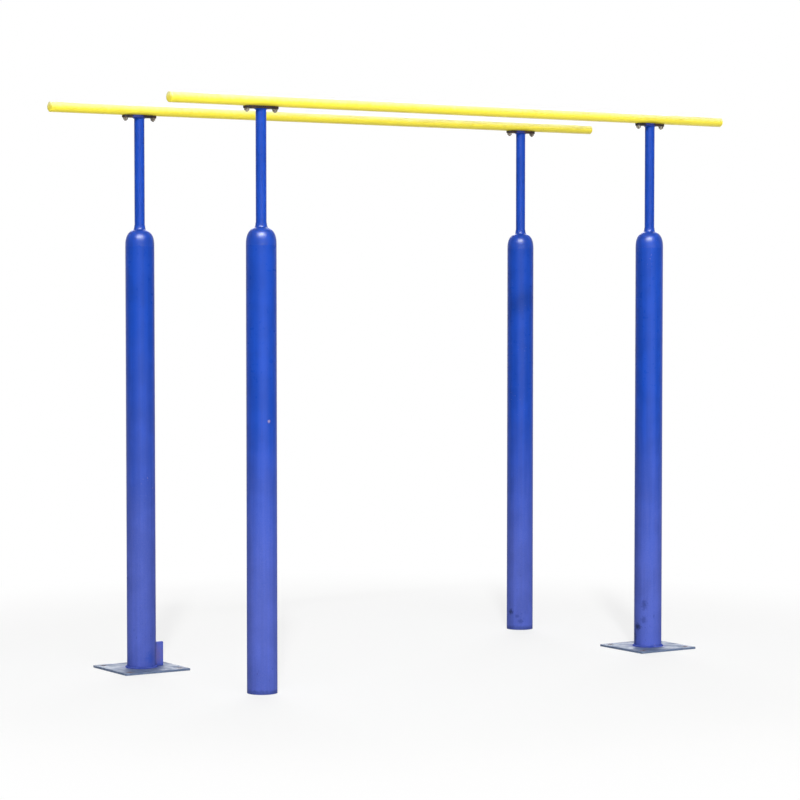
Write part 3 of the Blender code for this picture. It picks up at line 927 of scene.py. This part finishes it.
def build_foot(corner, paint, place):
    """A base plate, turned about its post, with the weld round the post."""
    node = "base_plate_" + corner
    side, _ = unturned_sizes(node)
    thickness = span("post_tube_" + corner, 2)[0] - SEAT_GAP
    inset = side / 2 - PLATE_CORNER_RADIUS
    outline = []
    for x, y, quarter in ((1, 1, 0), (-1, 1, 1), (-1, -1, 2), (1, -1, 3)):
        start = quarter * math.pi / 2
        end = start + math.pi / 2
        outline += arc((x * inset, y * inset), PLATE_CORNER_RADIUS, start, end, PLATE_CORNER_STEPS)
    holes = [round_hole(ANCHOR_RADIUS, x, y) for x, y in anchor_offsets(corner)]
    mesh = plate(node, outline, holes, thickness)
    raised = place + Vector((0, 0, thickness / 2))
    steel = galvanised_plate(corner)
    piece("foot_plate_" + corner, mesh, "plate_steel", steel, node, place=raised, rotation=(0, 0, BASE_TURN))
    out, up = FOOT_BEAD_OFF
    path = ring_path(radius_of("post_tube_" + corner) + FOOT_BEAD * out, thickness + FOOT_BEAD * up)
    weld = bead("foot_weld", path, FOOT_BEAD, closed=True, seed=11)
    piece("foot_weld_" + corner, weld, "post_paint", paint, place=place)


def build_gusset(corner, paint, place):
    """The upright gusset with a weld up the post and one along the plate, on both faces."""
    node = "foot_gusset_" + corner
    length, thickness = unturned_sizes(node)
    low, high = span(node, 2)
    inner = radius_of("post_tube_" + corner) + SEAT_GAP
    outer = inner + length
    cut = GUSSET_CORNER_CUT
    corner_centre = (outer - GUSSET_CORNER_RADIUS, high - GUSSET_CORNER_RADIUS)
    outline = [
        (inner + cut, low),
        (outer, low),
        *arc(corner_centre, GUSSET_CORNER_RADIUS, 0.0, math.pi / 2, GUSSET_CORNER_STEPS),
        (inner, high),
        (inner, low + cut),
    ]
    mesh = plate(node, outline, [], thickness)
    mesh.transform(Matrix.Rotation(math.pi / 2, 4, "X"))
    turn = (0, 0, BASE_TURN)
    piece("gusset", mesh, "post_paint", paint, node, place=place, rotation=turn)
    edge = EDGE_ROUND
    for face, y in (("front", -thickness / 2), ("back", thickness / 2)):
        up = line_path((inner + edge, y, low + cut), (inner + edge, y, high - GUSSET_BEAD))
        along = line_path((inner + cut, y, low + edge), (outer - GUSSET_BEAD, y, low + edge))
        upright_weld = bead("upright_weld", up, GUSSET_BEAD, seed=13)
        level_weld = bead("level_weld", along, GUSSET_BEAD, seed=17)
        piece(f"gusset_post_weld_{face}", upright_weld, "post_paint", paint, place=place, rotation=turn)
        piece(f"gusset_foot_weld_{face}", level_weld, "post_paint", paint, place=place, rotation=turn)


def build_joint(corner, zinc, meshes, nut_turns):
    """One saddle joint: flange, saddle, the welds along the bar, and two studs with their nuts."""
    bar = corner.split("_")[0]
    flange = "stem_flange_" + corner
    saddle = "bar_saddle_" + corner
    steel = joint_steel(corner)
    mesh = meshes["stem_flange"].copy()
    piece("stem_flange_plate_" + corner, mesh, "joint_steel", steel, flange, place=middle(flange))
    mesh = meshes["bar_saddle"].copy()
    piece("bar_saddle_plate_" + corner, mesh, "joint_steel", steel, saddle, place=middle(saddle))
    low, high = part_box(saddle)
    axis = middle("bar_tube_" + bar)
    radius = radius_of("bar_tube_" + bar, 1)
    half_width = math.sqrt(radius**2 - (axis.z - high.z) ** 2)
    out, up = SADDLE_BEAD_OFF
    for name, sign in (("near", -1), ("far", 1)):
        y = axis.y + sign * (half_width + SADDLE_BEAD * out)
        z = high.z + SADDLE_BEAD * up
        path = line_path((low.x + SADDLE_BEAD_END, y, z), (high.x - SADDLE_BEAD_END, y, z))
        weld = bead("saddle_weld", path, SADDLE_BEAD, seed=19)
        piece(f"saddle_weld_{corner}_{name}", weld, "joint_steel", steel)
    for end, nut_turn in zip(ENDS, nut_turns):
        stud = f"joint_stud_{corner}_{end}"
        nut = f"flange_nut_{corner}_{end}"
        turn = (0, 0, nut_turn)
        mesh = meshes["stud"].copy()
        piece(f"stud_{corner}_{end}", mesh, "fastener_steel", zinc, stud, place=middle(stud))
        mesh = meshes["nut"].copy()
        piece(f"nut_{corner}_{end}", mesh, "fastener_steel", zinc, nut, place=middle(nut), rotation=turn)


def cap_profile(length, radius):
    """A bar's end cap, pointing up: a plug that fits the bore, then a rim and a low rounded crown."""
    plug = radius - BAR_WALL - SEAT_GAP
    rise = length - PLUG_LENGTH - CROWN_EDGE
    start = PLUG_LENGTH + CROWN_EDGE
    angles = [math.pi / 2 * i / CROWN_RINGS for i in range(CROWN_RINGS)]
    crown = [(radius * math.cos(a) ** CROWN_POWER, start + rise * math.sin(a)) for a in angles]
    rim = [(radius - SEAT_GAP, PLUG_LENGTH), (radius, PLUG_LENGTH + SEAT_GAP)]
    return [(plug, 0.0), (plug, PLUG_LENGTH)] + rim + crown + [(CROWN_TIP_RADIUS, length)]


def build_bar(bar):
    """One bar with its two end caps."""
    tube = "bar_tube_" + bar
    centre = middle(tube)
    paint = yellow_paint(bar)
    radius = radius_of(tube, 1)
    half = radius_of(tube, 0)
    wall = tube_profile(radius, radius - BAR_WALL, -half, half)
    mesh = turned(tube, wall, SLIM_SEGMENTS)
    piece("bar_" + bar, mesh, "bar_paint", paint, tube, place=centre, rotation=(0, math.pi / 2, 0))
    for end, side in BAR_ENDS.items():
        node = f"bar_end_cap_{bar}_{end}"
        low, high = span(node, 0)
        start = Vector((low if side > 0 else high, centre.y, centre.z))
        mesh = turned("end_cap", cap_profile(high - low, radius), SLIM_SEGMENTS, closed=False)
        turn = (0, side * math.pi / 2, 0)
        piece(f"bar_cap_{bar}_{end}", mesh, "bar_paint", paint, node, place=start, rotation=turn)


def dress_inner_pieces():
    """A finish for the pieces of the frame that stay as they are, inside the posts."""
    steel = bare_steel()
    for name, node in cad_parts.items():
        if name.startswith(("stem_guide", "foot_disc")):
            node.data.materials.clear()
            node.data.materials.append(steel)


# Stage

def direction(bearing, elevation):
    """The way from the object to a lamp."""
    level = math.cos(elevation)
    return Vector((math.sin(bearing) * level, -math.cos(bearing) * level, math.sin(elevation)))


def hang(data, bearing, elevation, distance):
    """Hangs a lamp in its place, facing the object, and returns it."""
    shown = bpy.data.objects.new(data.name, data)
    away = direction(bearing, elevation)
    shown.rotation_euler = away.to_track_quat("Z", "Y").to_euler()
    shown.location = away * distance
    bpy.context.scene.collection.objects.link(shown)
    return shown


def build_lamps():
    """Two distant lamps, and three softboxes: high, low in front, and for the domes' highlights."""
    for name, (bearing, elevation, size, strength) in (("key", KEY_LAMP), ("back", BACK_LAMP)):
        data = bpy.data.lights.new(name, "SUN")
        data.energy = strength
        data.angle = size
        hang(data, bearing, elevation, LAMP_DISTANCE)
    for name, (bearing, elevation, distance, width, height, power, full) in SOFTBOXES.items():
        data = bpy.data.lights.new(name, "AREA")
        data.shape = "RECTANGLE"
        data.size = width
        data.size_y = height
        data.energy = power
        softbox = hang(data, bearing, elevation, distance)
        softbox.visible_diffuse = full


def seen_rays(nodes, links):
    """A value that is 1 for rays that see the background, directly or mirrored, and 0 for light."""
    path = nodes.new("ShaderNodeLightPath")
    total = path.outputs["Is Camera Ray"]
    for ray in ("Is Glossy Ray", "Is Transmission Ray"):
        either = nodes.new("ShaderNodeMath")
        either.operation = "MAXIMUM"
        links.new(total, either.inputs[0])
        links.new(path.outputs[ray], either.inputs[1])
        total = either.outputs[0]
    return total


def build_world():
    """A surround that is white where it is seen or mirrored, and softer as light."""
    world = bpy.data.worlds.new("studio")
    bpy.context.scene.world = world
    world.use_nodes = True
    nodes = world.node_tree.nodes
    links = world.node_tree.links
    lit = nodes["Background"]
    seen = nodes.new("ShaderNodeBackground")
    for shader, strength in ((lit, AMBIENT_STRENGTH), (seen, SEEN_STRENGTH)):
        shader.inputs["Color"].default_value = (1.0, 1.0, 1.0, 1.0)
        shader.inputs["Strength"].default_value = strength
    mix = nodes.new("ShaderNodeMixShader")
    links.new(seen_rays(nodes, links), mix.inputs[0])
    links.new(lit.outputs[0], mix.inputs[1])
    links.new(seen.outputs[0], mix.inputs[2])
    links.new(mix.outputs[0], nodes["World Output"].inputs["Surface"])


def build_floor():
    """A pale floor that keeps the shadow near the object and fades into the background further out."""
    shape = bmesh.new()
    bmesh.ops.create_grid(shape, x_segments=1, y_segments=1, size=FLOOR_SIZE / 2)
    floor = bpy.data.objects.new("floor", mesh_from(shape, "floor"))
    floor.location.z = cad_bounds[0].z - FLOOR_DROP
    bpy.context.scene.collection.objects.link(floor)
    material = bpy.data.materials.new("floor")
    material.use_nodes = True
    nodes = material.node_tree.nodes
    links = material.node_tree.links
    nodes.remove(nodes["Principled BSDF"])
    seen = seen_rays(nodes, links)
    colour = nodes.new("ShaderNodeMix")
    colour.data_type = "RGBA"
    links.new(seen, colour.inputs["Factor"])
    colour.inputs[6].default_value = (*FLOOR_BOUNCE, 1.0)
    colour.inputs[7].default_value = (*FLOOR_SEEN, 1.0)
    matt = nodes.new("ShaderNodeBsdfDiffuse")
    links.new(colour.outputs[2], matt.inputs["Color"])
    glow = nodes.new("ShaderNodeEmission")
    place = nodes.new("ShaderNodeTexCoord")
    distance = nodes.new("ShaderNodeVectorMath")
    distance.operation = "LENGTH"
    links.new(place.outputs["Object"], distance.inputs[0])
    fade = nodes.new("ShaderNodeMapRange")
    fade.interpolation_type = "SMOOTHSTEP"
    links.new(distance.outputs["Value"], fade.inputs["Value"])
    fade.inputs["From Min"].default_value = FLOOR_FADE_START
    fade.inputs["From Max"].default_value = FLOOR_FADE_END
    fade.inputs["To Min"].default_value = FLOOR_LIFT
    lift = nodes.new("ShaderNodeMath")
    lift.operation = "MULTIPLY"
    links.new(fade.outputs["Result"], lift.inputs[0])
    links.new(seen, lift.inputs[1])
    mix = nodes.new("ShaderNodeMixShader")
    links.new(lift.outputs[0], mix.inputs[0])
    links.new(matt.outputs[0], mix.inputs[1])
    links.new(glow.outputs[0], mix.inputs[2])
    links.new(mix.outputs[0], nodes["Material Output"].inputs["Surface"])
    floor.data.materials.append(material)


def build_camera():
    """The camera at the photograph's place and angle."""
    data = bpy.data.cameras.new("camera")
    data.lens = CAMERA_LENS
    data.clip_end = FLOOR_SIZE
    camera = bpy.data.objects.new("camera", data)
    camera.location = CAMERA_PLACE
    camera.rotation_euler = (math.pi / 2 - CAMERA_DOWNWARD_TILT, 0.0, -CAMERA_YAW)
    bpy.context.scene.collection.objects.link(camera)
    bpy.context.scene.camera = camera


def main():
    """Camera and stage, then every piece of the object."""
    bpy.context.scene.view_settings.view_transform = "Standard"
    build_camera()
    build_world()
    build_floor()
    build_lamps()
    for corner in CORNERS:
        build_post(corner)
    first = next(iter(CORNERS))
    meshes = {
        "stem_flange": flange_mesh(first),
        "bar_saddle": saddle_mesh(first, first.split("_")[0]),
        "stud": stud_mesh(first),
        "nut": nut_mesh(first),
    }
    zinc = weathered_zinc()
    for i, corner in enumerate(CORNERS):
        turns = [NUT_TURN_FIRST + NUT_TURN_STEP * (2 * i + k) for k in range(len(ENDS))]
        build_joint(corner, zinc, meshes, turns)
    for bar in BARS:
        build_bar(bar)
    dress_inner_pieces()


main()
